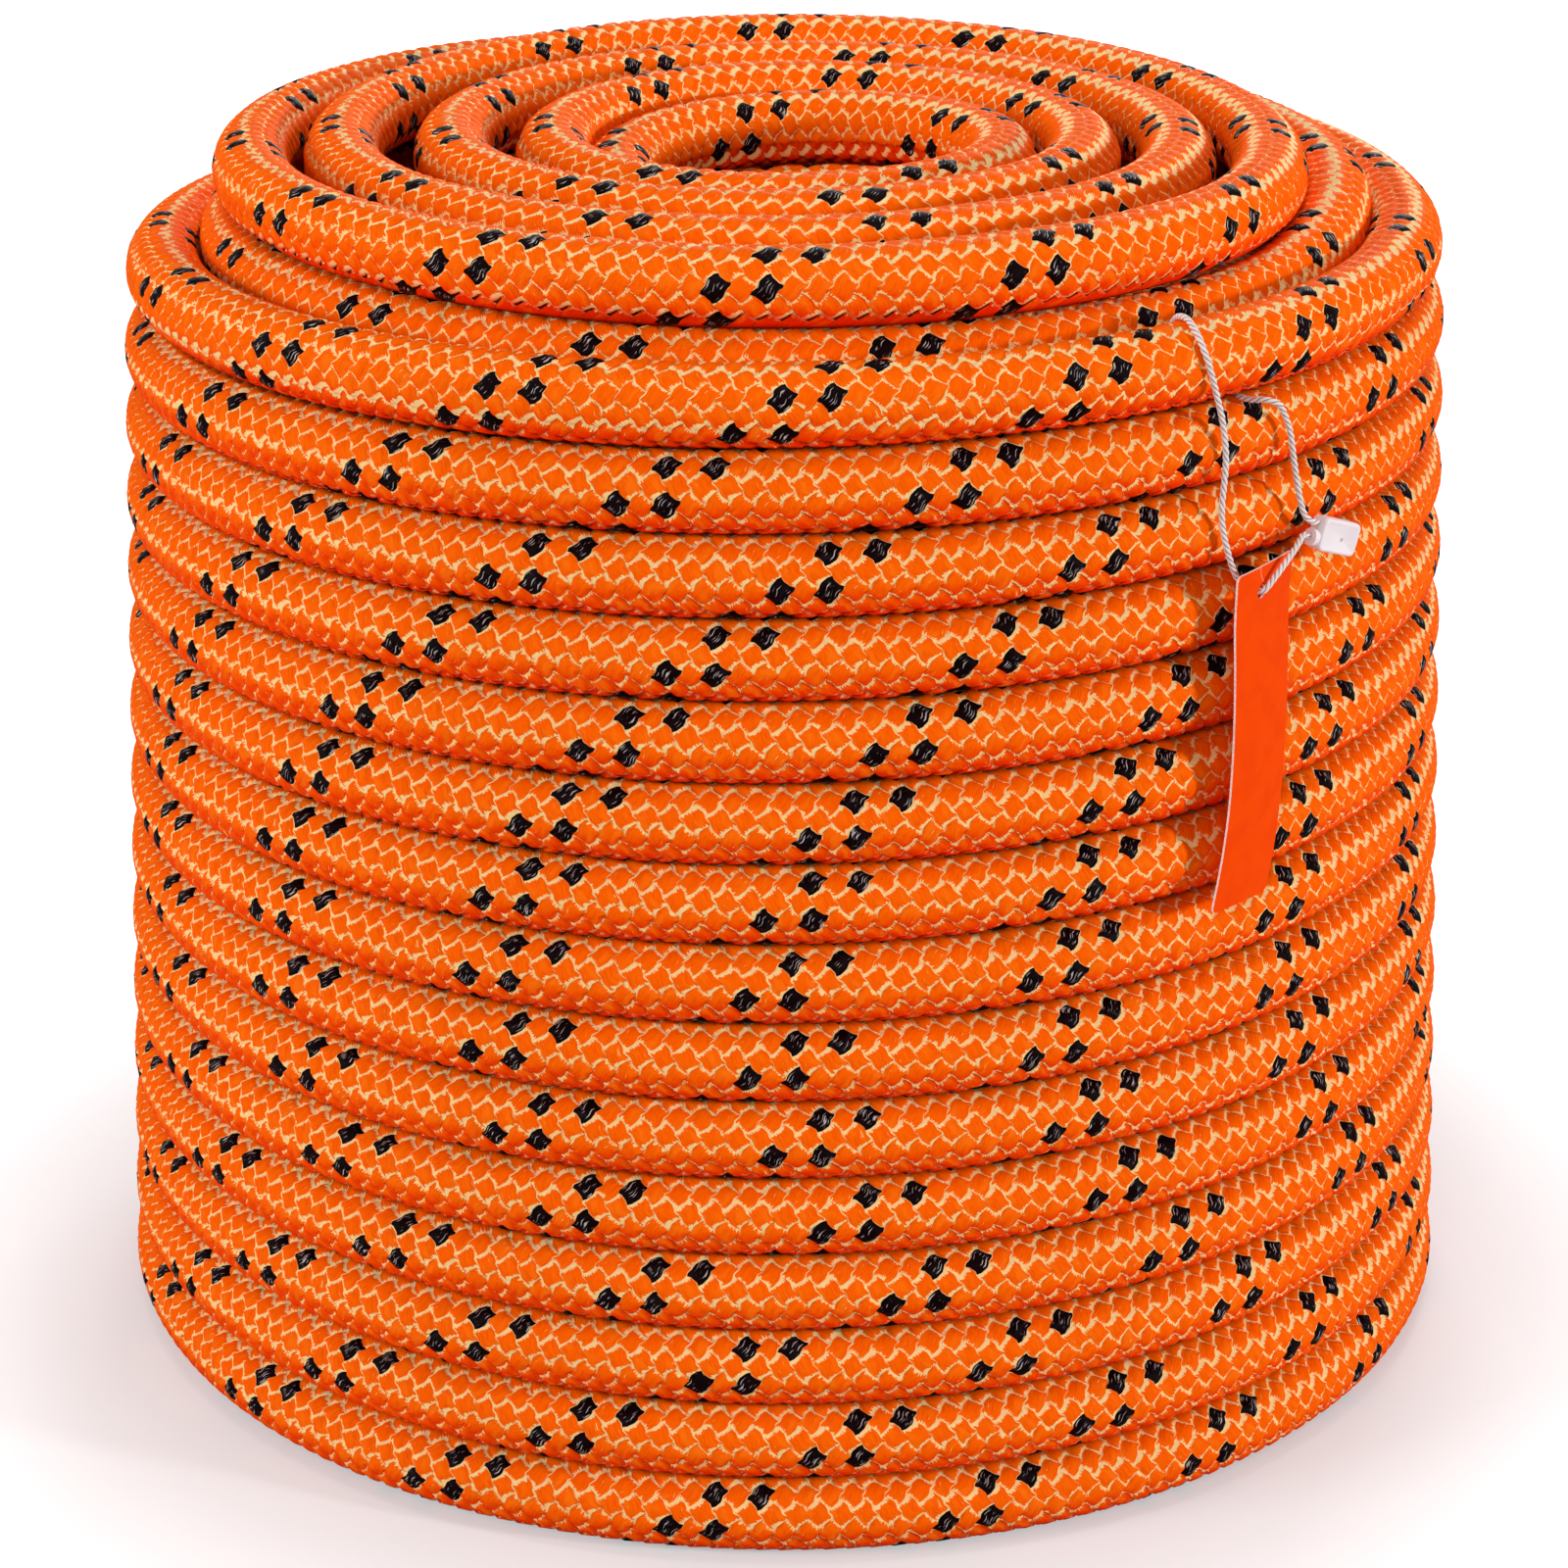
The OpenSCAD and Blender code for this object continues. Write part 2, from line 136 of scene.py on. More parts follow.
def outer_path():
    """The outer winding, the crown and the dive, and the direction in which each point faces out.

    Where the direction is zero, it is carried along from the point before."""
    t = np.arange(0, TURNS + 1e-9, 1 / OUTER_STEPS)
    r, z = outer_line(t)
    pts = polar(r, START_AZ + 360 * t, z)
    radial = polar(np.ones_like(t), START_AZ + 360 * t, 0)
    up = np.radians(np.interp(t, FACE_TURNS, FACE_UP))
    face = radial * np.cos(up)[:, None] + np.array([0, 0, 1]) * np.sin(up)[:, None]
    start = [[ROPE_D, r[0], z[0]], [ROPE_D / 2, r[0], z[0]]]
    a = np.radians(np.linspace(0, 90, DIVE_STEPS)[1:])
    dive = polar(np.full(len(a), r[-1]), START_AZ + 360 * TURNS + np.degrees(DIVE_BEND * np.sin(a) / r[-1]),
                 z[-1] - DIVE_BEND * (1 - np.cos(a)))
    end = dive[-1] - np.outer(np.linspace(0, TAIL_L + LIFT, TAIL_STEPS)[1:], [0, 0, 1])
    pts = np.concatenate([start, pts, dive, end])
    face = np.concatenate([np.repeat(face[:1], 2, 0), face, np.zeros((len(dive) + len(end), 3))])
    pts[:, 2] += LIFT
    return pts, face


# the five layers under the wall, from the middle outwards: radius at the foot and on top, and top height
LAYER_FOOT = np.array([40.7, 55.7, 70.8, 85.8, 100.8])
LAYER_TOP = np.array([40.7, 53.9, 67.0, 80.2, 93.4])
LAYER_HIGH = np.array([188.2, 190.5, 190.5, 190.5, 178.0])
LAYER_RISE = 185
INNER_AZ, INNER_TURNS, INNER_STEPS = 80.0, 76, 40
CROSS_TURNS = 0.3  # over which the rope crosses from one layer to the next
LIFT_POINTS = 30  # over which the braid rises from the solid end's height to its own


def inner_path(spread):
    """The layers under the outer winding: down, up, down, up, down, always the same way round.

    spread: turns that each layer has more than the one inside it."""
    n = INNER_TURNS / 5 + spread * (np.arange(5) - 2)
    n[4] += (math.degrees(math.atan2(LAYER_FOOT[4], ROPE_D)) - INNER_AZ) / 360
    low = ROPE_R + 0.1 - LIFT
    rows, t0 = [], 0.0
    for k in range(5):
        down = k % 2 == 0
        t = np.arange(0, n[k], 1 / INNER_STEPS)
        climb = np.clip(t / (n[k] - CROSS_TURNS), 0, 1)
        z_from, z_to = (LAYER_HIGH[k], low) if down else (low, LAYER_HIGH[k])
        z = z_from + (z_to - z_from) * climb
        r = LAYER_FOOT[k] + (LAYER_TOP[k] - LAYER_FOOT[k]) * (z - low) / LAYER_RISE
        if k < 4:
            out = ease((t - n[k] + CROSS_TURNS) / CROSS_TURNS)
            r_next = (LAYER_FOOT if down else LAYER_TOP)[k + 1]
            z_next = low if down else LAYER_HIGH[k + 1]
            r, z = r + (r_next - r) * out, z + (z_next - z) * out
        rows.append(np.stack([r, INNER_AZ + 360 * (t0 + t), z], -1))
        t0 += n[k]
    rows = np.concatenate(rows)
    return polar(rows[:, 0], rows[:, 1], rows[:, 2] + LIFT * ease(np.arange(len(rows)) / LIFT_POINTS))


def line_length(pts):
    return float(np.linalg.norm(np.diff(pts, axis=0), axis=1).sum())


outer_pts, outer_face = outer_path()
outer_len = line_length(outer_pts)
# the layers' turns are shared out so that the whole rope has its real length
low_s, high_s = -1.5, 1.5
for _ in range(40):
    mid_s = (low_s + high_s) / 2
    if line_length(inner_path(mid_s)) + outer_len + END_L < ROPE_LENGTH:
        low_s = mid_s
    else:
        high_s = mid_s
inner_pts = inner_path(mid_s)
lead = np.array([END_L * math.sin(math.radians(INNER_AZ)), -END_L * math.cos(math.radians(INNER_AZ)), 0])
inner_pts = np.concatenate([[inner_pts[0] + lead], inner_pts, [outer_pts[0] + [3, 0, 0]]])

# ---------------------------------------------------------------- braid
# 12 strands lean one way and 12 the other; each floats over two and dives under two.
# i and j count the strands of the two families: round the rope i - j, along it i + j.
STRANDS = 24
LAY = 43.3  # length in which a strand goes once round
CROSSING = LAY / STRANDS
SKIN_R = 6.58
BULGE, UNEVEN = 0.22, 0.09  # in crossings
FINE, PLAIN = [0, .25, .75], [0]  # where a crossing is cut


class MeshParts:
    """Vertices, faces, material numbers and both UV maps of a mesh that is made in pieces."""

    def __init__(self):
        self.v, self.f, self.m, self.uv, self.bake, self.count = [], [], [], [], [], 0

    def add(self, v, f, m, uv, bake):
        f = f + self.count
        for store, item in ((self.v, v), (self.f, f), (self.m, m), (self.uv, uv), (self.bake, bake)):
            store.append(item)
        self.count += len(v)


def smooth_frames(pts, face):
    """Tangent and facing direction at each point; where no direction is given it is carried along."""
    tan = np.gradient(pts, axis=0)
    tan /= np.linalg.norm(tan, axis=1)[:, None]
    out = np.array(face, float)
    for i in range(len(out)):
        if not out[i].any():
            out[i] = out[i - 1]
        out[i] -= (out[i] @ tan[i]) * tan[i]
        out[i] /= np.linalg.norm(out[i])
    return tan, out


def float_place(i_cell, j_cell, i_part, j_part):
    """Which family is on top in a crossing, and the place along and across its float, 0 to 1."""
    c = (i_cell - j_cell) % 4
    first = c < 2
    along = np.where(first, ((1 - c) + j_part) / 2, (c - 2 + i_part) / 2)
    across = np.where(first, i_part, j_part)
    return first, along, across


def bulge(c, out_at, step, at_corner):
    """How far a boundary is pushed by the float whose side stands out over the ends beside it."""
    def push(k):
        return np.where(k % 4 == out_at, 1.0, 0.0) - np.where((k + 2) % 4 == out_at, 1.0, 0.0)

    return np.where(at_corner, (push(c) + push(c + step)) / 2, push(c))


def uneven(i, j, kind):
    """A fixed odd value, -1 to 1, for each crossing of two strands."""
    key = ((i + j) * 92821 + ((i - j) % STRANDS) * 68917 + kind * 31337) % 65521
    return (key * key % 65521) / 32760.5 - 1


def braid(parts, pts, face, cuts, sector, relief, strip, oval=1.0, span=(0.0, 1.0)):
    """Adds a braided tube, or the sector of one that lies between two counts of crossings round it.

    face: where count 0 faces; cuts: where each crossing is cut; relief: depth of the creases;
    strip: (low, high, strips) of the bake map; oval: width by height;
    span: the share of the line's length that gets its mesh here."""
    tan, out = smooth_frames(pts, face)
    s_at = np.concatenate([[0], np.cumsum(np.linalg.norm(np.diff(pts, axis=0), axis=1))])
    total = s_at[-1]
    n = len(cuts)
    cuts = np.array(cuts, float)
    z_steps = int(round(total / CROSSING))
    per_z = total / z_steps
    lo, hi = sector
    closed = hi - lo == STRANDS
    count = (hi - lo) * n // 2
    rows = np.arange(round(span[0] * z_steps) * n - 2 * n, (round(span[1] * z_steps) + 2) * n + 1)
    around = lo * n + (rows[:, None] + lo * n) % 2 + 2 * np.arange(count)[None, :]
    p, q = (rows[:, None] + around) // 2, (rows[:, None] - around) // 2
    ic, jc, ip, jp = p // n, q // n, p % n, q % n
    i, j = ic + cuts[ip], jc + cuts[jp]
    c = ic - jc
    fi, fj = cuts[ip], cuts[jp]
    here = [uneven(ic + a, jc + b, 1) for a in (0, 1) for b in (0, 1)]
    there = [uneven(ic + a, jc + b, 2) for a in (0, 1) for b in (0, 1)]
    share = [(1 - fi) * (1 - fj), (1 - fi) * fj, fi * (1 - fj), fi * fj]
    i = i + UNEVEN * sum(w * h for w, h in zip(share, here))
    j = j + UNEVEN * sum(w * h for w, h in zip(share, there))
    i = i + BULGE * ((1 - fi) * bulge(c, 2, 1, jp == 0) + fi * bulge(c + 1, 2, 1, jp == 0))
    j = j + BULGE * ((1 - fj) * bulge(c, 1, -1, ip == 0) + fj * bulge(c - 1, 1, -1, ip == 0))

    # the skin dips at the ends and sides of each float that a point belongs to
    dip = np.zeros(i.shape)
    for di in (0, 1):
        for dj in (0, 1):
            near = ((di == 0) | (ip == 0)) & ((dj == 0) | (jp == 0))
            _, along, across = float_place(ic - di, jc - dj, cuts[ip] + di, cuts[jp] + dj)
            d = np.abs(2 * along - 1) ** 6 + 0.65 * np.abs(2 * across - 1) ** 3
            dip = np.where(near, np.maximum(dip, d), dip)
    s = np.clip((i + j) * per_z, 0, total).ravel()
    th = (i - j).ravel() * (np.pi / 12)

    def at(arr):
        return np.stack([np.interp(s, s_at, arr[:, k]) for k in range(3)], -1)

    o, t = at(out), at(tan)
    o /= np.linalg.norm(o, axis=1)[:, None]
    rad = SKIN_R - relief * np.minimum(dip, 1.3).ravel()
    pos = at(pts) + o * (np.cos(th) * rad)[:, None] + np.cross(t, o) * (np.sin(th) * rad * oval)[:, None]

    # one diamond above each lattice point
    r = np.arange(len(rows) - 2)[:, None]
    k = np.arange(count)[None, :]
    odd = (rows[:-2, None] + lo * n) % 2
    right, left = k + odd, k + odd - 1
    inside = (left >= 0) & (right < count) | closed
    quad = np.stack([r * count + k, (r + 1) * count + right % count, (r + 2) * count + k,
                     (r + 1) * count + left % count], -1)
    f_ic, f_jc, f_ip, f_jp = (x[:-2] for x in (ic, jc, ip, jp))
    edge = np.append(cuts, 1.0)
    corner = [(0, 0), (1, 0), (1, 1), (0, 1)]
    place = [float_place(f_ic, f_jc, edge[f_ip + a], edge[f_jp + b]) for a, b in corner]
    first = place[0][0]
    dark = first & ((f_ic % 12 == 0) | (f_ic % 12 == 2))

    # the fibre map: each float has a unit square of its own, and its family gives the row
    name = np.where(first, f_ic * 7 + (f_ic - f_jc) // 4 * 3, f_jc * 11 + (f_ic - f_jc) // 4 * 5 + 2) % 61
    family = np.where(first, 0, 1)
    fib = np.stack([np.stack([name + 0.01 + 0.98 * x, family + 0.01 + 0.98 * y], -1)
                    for _, x, y in place], 2)

    # a strip of the bake map for each stretch of rope
    y_lo, y_hi, strips = strip
    per = math.ceil(len(rows) / strips)
    height = (y_hi - y_lo) / strips
    row = np.arange(len(rows) - 2)[:, None]
    y0 = y_lo + height * (row // per)
    u = [(row % per + d) / (per + 2) for d in (0, 1, 2, 1)]
    a_mid = (around[:-2] / n + 8) / 28
    v = [y0 + height * (a_mid + d / n / 28) for d in (0, 1, 0, -1)]
    bake = np.stack([np.stack([a + 0 * b, b], -1) for a, b in zip(u, v)], 2)

    s2 = s.reshape(i.shape)
    keep = (inside & (s2[2:] > 1e-6) & (s2[:-2] < total - 1e-6)).ravel()
    parts.add(pos * MM, quad.reshape(-1, 4)[keep], dark.ravel()[keep].astype(np.int32),
              fib.reshape(-1, 4, 2)[keep], bake.reshape(-1, 4, 2)[keep])


def make_mesh(name, parts):
    """One object from the parts of its mesh."""
    v, f = np.concatenate(parts.v), np.concatenate(parts.f)
    m, uv, bake = np.concatenate(parts.m), np.concatenate(parts.uv), np.concatenate(parts.bake)
    me = bpy.data.meshes.new(name)
    me.vertices.add(len(v))
    me.vertices.foreach_set("co", v.astype(np.float32).ravel())
    me.loops.add(f.size)
    me.loops.foreach_set("vertex_index", f.astype(np.int32).ravel())
    me.polygons.add(len(f))
    me.polygons.foreach_set("loop_start", np.arange(0, f.size, 4, dtype=np.int32))
    me.polygons.foreach_set("loop_total", np.full(len(f), 4, np.int32))
    me.polygons.foreach_set("material_index", m.astype(np.int32))
    me.polygons.foreach_set("use_smooth", np.ones(len(f), bool))
    me.update(calc_edges=True)
    fibre = me.uv_layers.new(name="Fibre")
    fibre.data.foreach_set("uv", uv.astype(np.float32).ravel())
    baked = me.uv_layers.new(name="OFBake")
    baked.data.foreach_set("uv", bake.astype(np.float32).ravel())
    me.validate()
    ob = bpy.data.objects.new(name, me)
    scene.collection.objects.link(ob)
    return ob


# ---------------------------------------------------------------- materials
def new_material(name, color, rough, spec):
    mat = bpy.data.materials.new(name)
    mat.use_nodes = True
    bsdf = mat.node_tree.nodes["Principled BSDF"]
    bsdf.inputs["Base Color"].default_value = (*color, 1)
    bsdf.inputs["Roughness"].default_value = rough
    bsdf.inputs["Specular IOR Level"].default_value = spec
    mat.diffuse_color = (*color, 1)
    return mat, mat.node_tree, bsdf


class Nodes:
    """Short names for the shader nodes that the materials below are made of."""

    def __init__(self, nt):
        self.n, self.l = nt.nodes, nt.links

    def put(self, socket, x):
        """Sets the socket to a number or colour, or links it to another node's socket."""
        if isinstance(x, tuple):
            socket.default_value = (*x, 1) if len(x) == 3 and socket.type == "RGBA" else x
        elif isinstance(x, (int, float)):
            socket.default_value = x
        elif x is not None:
            self.l.new(x, socket)

    def math(self, operation, a, b=None):
        made = self.n.new("ShaderNodeMath")
        made.operation = operation
        self.put(made.inputs[0], a)
        self.put(made.inputs[1], b)
        return made.outputs[0]

    def ramp(self, x, a, b, to_a=0.0, to_b=1.0):
        made = self.n.new("ShaderNodeMapRange")
        made.interpolation_type = "SMOOTHSTEP"
        for name, value in (("Value", x), ("From Min", a), ("From Max", b),
                            ("To Min", to_a), ("To Max", to_b)):
            self.put(made.inputs[name], value)
        return made.outputs["Result"]

    def mix(self, a, b, factor):
        made = self.n.new("ShaderNodeMix")
        made.data_type = "RGBA"
        self.put(made.inputs[6], a)
        self.put(made.inputs[7], b)
        self.put(made.inputs[0], factor)
        return made.outputs[2]

    def noise(self, vector, scale, stretch=(1.0, 1.0, 1.0), detail=2.0):
        mapping = self.n.new("ShaderNodeMapping")
        mapping.inputs["Scale"].default_value = stretch
        self.l.new(vector, mapping.inputs["Vector"])
        made = self.n.new("ShaderNodeTexNoise")
        made.inputs["Scale"].default_value = scale
        made.inputs["Detail"].default_value = detail
        self.l.new(mapping.outputs["Vector"], made.inputs["Vector"])
        return made.outputs["Fac"]

    def uv(self, name):
        made = self.n.new("ShaderNodeUVMap")
        made.uv_map = name
        return made.outputs["UV"]

    def xyz(self, vector):
        made = self.n.new("ShaderNodeSeparateXYZ")
        self.l.new(vector, made.inputs[0])
        return made.outputs

    def normal(self):
        return self.n.new("ShaderNodeNewGeometry").outputs["Normal"]

    def object_place(self):
        return self.n.new("ShaderNodeTexCoord").outputs["Object"]

    def bump(self, bsdf, height, strength, distance):
        made = self.n.new("ShaderNodeBump")
        made.inputs["Strength"].default_value = strength
        made.inputs["Distance"].default_value = distance
        self.l.new(height, made.inputs["Height"])
        self.l.new(made.outputs["Normal"], bsdf.inputs["Normal"])


def fibre_material(name, color, low, light, crown, rough, spec, ends, glint):
    """Filament yarn in floats: fine streaks along each float, and painted highlights where it turns down at
    its ends.

    low: painted shade colour of what faces down; light and crown: painted highlight colours of the float
    ends, for what faces sideways and for what faces up; ends: how far the painted end highlights show;
    glint: how rare the painted glint streaks are."""
    mat, nt, bsdf = new_material(name, color, rough, spec)
    g = Nodes(nt)
    uv = g.uv("Fibre")
    at = g.xyz(uv)
    x = g.math("FRACT", at["X"])
    y = g.math("FRACT", at["Y"])
    falling = g.math("FLOOR", at["Y"])
    streak = g.noise(uv, 1.0, (1.9, 15.0, 1.0), 1.0)
    patch = g.noise(uv, 1.0, (0.9, 2.1, 1.0), 1.0)
    up = g.xyz(g.normal())["Z"]
    wave = g.math("MULTIPLY", g.math("SUBTRACT", streak, 0.5), 0.34)
    wave = g.math("ADD", wave, g.math("MULTIPLY", g.math("SUBTRACT", patch, 0.5), 0.3))

    # painted highlights on the two ends of each float, over a length that depends on which way they face
    high = g.ramp(up, 0.2, 0.85)
    under = g.ramp(up, 0.25, -0.45)
    crest = g.ramp(up, 0.72, 0.95)
    reach_0 = g.math("ADD", 0.065, g.math("MULTIPLY", g.math("MULTIPLY", high, falling), 0.1))
    reach_0 = g.math("ADD", reach_0, g.math("MULTIPLY", crest, 0.05))
    reach_1 = g.math("ADD", 0.07, g.math("MULTIPLY", g.math("MULTIPLY", under, falling), 0.17))
    reach_1 = g.math("ADD", reach_1, g.math("MULTIPLY", crest, 0.04))

    def lit(distance, reach):
        past = g.math("SUBTRACT", g.math("ADD", distance, wave), reach)
        return g.ramp(past, 0.025, -0.025)

    end = g.math("MAXIMUM", lit(x, reach_0), lit(g.math("SUBTRACT", 1.0, x), reach_1))
    rim = g.math("ABSOLUTE", g.math("SUBTRACT", y, 0.5))
    side = g.ramp(g.math("SUBTRACT", rim, g.math("MULTIPLY", wave, 0.5)), 0.455, 0.49)
    side = g.math("MULTIPLY", side, g.ramp(up, -0.1, 0.35))
    edge = g.math("MULTIPLY", g.math("MAXIMUM", end, side), g.ramp(up, -0.85, -0.45))
    edge = g.math("MULTIPLY", edge, ends)
    off = g.math("ABSOLUTE", g.math("SUBTRACT", x, 0.5))
    middle = g.ramp(off, 0.36, 0.16)
    # painted highlights: the float ends, and painted glint streaks along the middle of each float
    painted_highlight = g.math("MAXIMUM", edge, g.math("MULTIPLY", g.ramp(streak, glint, glint + 0.05), middle))

    # the body of the yarn: painted shade, lighter on top, darker red on what faces down and in the
    # crevices; random darker streaks and lighter patches; then the painted highlights
    crevice_shade = g.math("MULTIPLY", g.ramp(g.math("MAXIMUM", off, rim), 0.455, 0.49), g.ramp(up, 0.75, 0.0))
    tone = g.mix(low, color, g.ramp(up, -0.75, 0.2))
    tone = g.mix(tone, tuple(c * 0.72 for c in low), g.math("MULTIPLY", g.ramp(streak, 0.5, 0.3), 0.35))
    painted_deep_shade = tuple(c * k for c, k in zip(low, (0.3, 0.05, 0.05)))
    tone = g.mix(tone, painted_deep_shade, g.math("MULTIPLY", crevice_shade, 0.75))
    tone = g.mix(tone, tuple(min(c * 1.45 + 0.005, 1.0) for c in color), g.ramp(patch, 0.5, 0.72, 0.0, 0.6))
    tone = g.mix(tone, g.mix(light, crown, g.ramp(up, 0.5, 0.95)), painted_highlight)
    # painted shade on what faces straight down
    tone = g.mix(tone, painted_deep_shade, g.ramp(up, -0.74, -0.93))
    g.put(bsdf.inputs["Base Color"], tone)
    g.bump(bsdf, streak, 0.5, 0.0003)
    return mat


def grained(name, color, other, rough, spec, scale, bump=0.1, depth=0.0001):
    """A material whose colour, gloss and surface vary a little."""
    mat, nt, bsdf = new_material(name, color, rough, spec)
    g = Nodes(nt)
    fine = g.noise(g.object_place(), scale, detail=4.0)
    g.put(bsdf.inputs["Base Color"], g.mix(other, color, g.ramp(fine, 0.35, 0.6)))
    g.put(bsdf.inputs["Roughness"], g.ramp(fine, 0.3, 0.7, min(rough + 0.08, 1.0), rough - 0.06))
    g.bump(bsdf, fine, bump, depth)
    return mat, g, bsdf


# low: painted shade colours; light and crown: painted highlight colours; the black shows only painted glint
# streaks
orange = fibre_material("rope_orange", (0.98, 0.122, 0.0), low=(0.92, 0.035, 0.0), light=(1.0, 0.66, 0.27),
                        crown=(1.0, 0.7, 0.32), rough=0.55, spec=0.015, ends=1.0, glint=0.74)
black = fibre_material("rope_black", (0.005, 0.001, 0.0015), low=(0.005, 0.0007, 0.001),
                       light=(0.5, 0.44, 0.43), crown=(0.5, 0.44, 0.43), rough=0.45, spec=0.02,
                       ends=0.0, glint=0.61)

# ---------------------------------------------------------------- the rope
# Fine where the rope shows: the outward half, all round on the way down into the middle, and the
# half of the innermost layer that faces the middle.
SEEN, HIDDEN, ALL_ROUND = (-8, 8), (7, 17), (0, STRANDS)
FINE_RELIEF, PLAIN_RELIEF, INNER_RELIEF = 0.5, 0.3, 0.2
OUTER_STRIP, DIVE_STRIP = (0.0, 0.9, 20), (0.9, 0.95, 1)
FIRST_STRIP, REST_STRIP = (0.95, 0.97, 1), (0.97, 1.0, 2)
DIVE_SEEN, FIRST_TURNS = 950, 15.2

parts = MeshParts()
split = 1 - DIVE_SEEN / outer_len
braid(parts, outer_pts, outer_face, FINE, SEEN, FINE_RELIEF, OUTER_STRIP)
braid(parts, outer_pts, outer_face, PLAIN, HIDDEN, PLAIN_RELIEF, OUTER_STRIP, span=(0, split))
braid(parts, outer_pts, outer_face, FINE, HIDDEN, FINE_RELIEF, DIVE_STRIP, span=(split, 1))
inner_face = inner_pts * [1, 1, 0]
inner_face /= np.linalg.norm(inner_face, axis=1)[:, None]
first = int(INNER_STEPS * FIRST_TURNS)
first_pts, first_face = inner_pts[:first], -inner_face[:first]
braid(parts, first_pts, first_face, FINE, SEEN, FINE_RELIEF, FIRST_STRIP, oval=0.94)
braid(parts, first_pts, first_face, PLAIN, HIDDEN, PLAIN_RELIEF, FIRST_STRIP, oval=0.94)
braid(parts, inner_pts[first - 1:], inner_face[first - 1:], PLAIN, ALL_ROUND, INNER_RELIEF, REST_STRIP,
      oval=0.92)
rope = make_mesh("rope_braid_coil", parts)
rope.data.materials.append(orange)
rope.data.materials.append(black)
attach(rope, "rope")
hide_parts("rope_outer_winding", "rope_inner_layers", "outer_end_cover", "inner_end_cover")

# ---------------------------------------------------------------- rope ends
core_mat, _, _ = grained("rope_core", (0.74, 0.7, 0.6), (0.5, 0.44, 0.34), 0.7, 0.2, 900,
                         bump=0.5, depth=0.0003)
tip_mat, _, _ = grained("fused_tip", (0.3, 0.035, 0.006), (0.06, 0.01, 0.006), 0.25, 0.5, 350,
                        bump=0.5, depth=0.0005)


def repaint(node, mat):
    """Gives a CAD node that stays its finished material."""
    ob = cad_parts[node]
    ob.data.materials.clear()
    ob.data.materials.append(mat)


for end in ("outer_end", "inner_end"):
    repaint(end + "_core", core_mat)
    repaint(end + "_fused_tip", tip_mat)

# ---------------------------------------------------------------- tag and string, in the tag's own frame
# In mm: +X outwards from the wall, +Y round the coil, +Z up.
TAG_AZIMUTH = math.radians(-54)
HELD_Z = 191.314 + LIFT  # the middle of the turn that the string goes round
UNDER_Z = HELD_Z - 6.6
SWING_R, SWING_Z = 114.087, 184.214
HOLE_X, HOLE_Y, HOLE_Z = SWING_R + 3.6, 5.7, SWING_Z - 27
SEAL_X, SEAL_Y, SEAL_Z, SEAL_TILT = SWING_R + 2, 22.6, SWING_Z - 21.5, math.radians(-19)
SEAL_L, SEAL_H, SEAL_T = 8.2, 5.4, 3.2


def from_tag(points):
    """From the tag's frame to the coil's."""
    p = np.asarray(points, float)
    c, s = math.cos(TAG_AZIMUTH), math.sin(TAG_AZIMUTH)
    return np.stack([p[..., 0] * c - p[..., 1] * s, p[..., 0] * s + p[..., 1] * c, p[..., 2]], -1)


def from_seal(points):
    """From the seal's frame, X its thickness, Y its length and Z its height, to the tag's."""
    p = np.asarray(points, float)
    c, s = math.cos(SEAL_TILT), math.sin(SEAL_TILT)
    return np.stack([SEAL_X + p[..., 0], SEAL_Y + p[..., 1] * c - p[..., 2] * s,
                     SEAL_Z + p[..., 1] * s + p[..., 2] * c], -1)


def smooth_line(points, step):
    """A smooth curve through the points, cut into equal steps."""
    p = np.asarray(points, float)
    p = np.concatenate([[2 * p[0] - p[1]], p, [2 * p[-1] - p[-2]]])
    u = np.linspace(0, 1, 24, endpoint=False)[:, None]
    rows = [0.5 * (2 * b + (c - a) * u + (2 * a - 5 * b + 4 * c - d) * u ** 2
                   + (3 * b - a - 3 * c + d) * u ** 3) for a, b, c, d in zip(p, p[1:], p[2:], p[3:])]
    fine = np.concatenate(rows + [p[-2:-1]])
    at = np.concatenate([[0], np.cumsum(np.linalg.norm(np.diff(fine, axis=0), axis=1))])
    s = np.linspace(0, at[-1], int(at[-1] / step) + 1)
    return np.stack([np.interp(s, at, fine[:, k]) for k in range(3)], -1)


def plain_mesh(name, verts, faces, smooth=True):
    me = bpy.data.meshes.new(name)
    me.from_pydata([tuple(v) for v in np.asarray(verts) * MM], [], faces)
    me.polygons.foreach_set("use_smooth", [smooth] * len(me.polygons))
    me.update()
    ob = bpy.data.objects.new(name, me)
    scene.collection.objects.link(ob)
    return ob


def tube_faces(rings, sides):
    """Faces of a closed tube whose points come ring by ring."""
    body = [(i * sides + k, i * sides + (k + 1) % sides, (i + 1) * sides + (k + 1) % sides,
             (i + 1) * sides + k) for i in range(rings - 1) for k in range(sides)]
    return body + [tuple(range(sides))[::-1], tuple((rings - 1) * sides + k for k in range(sides))]


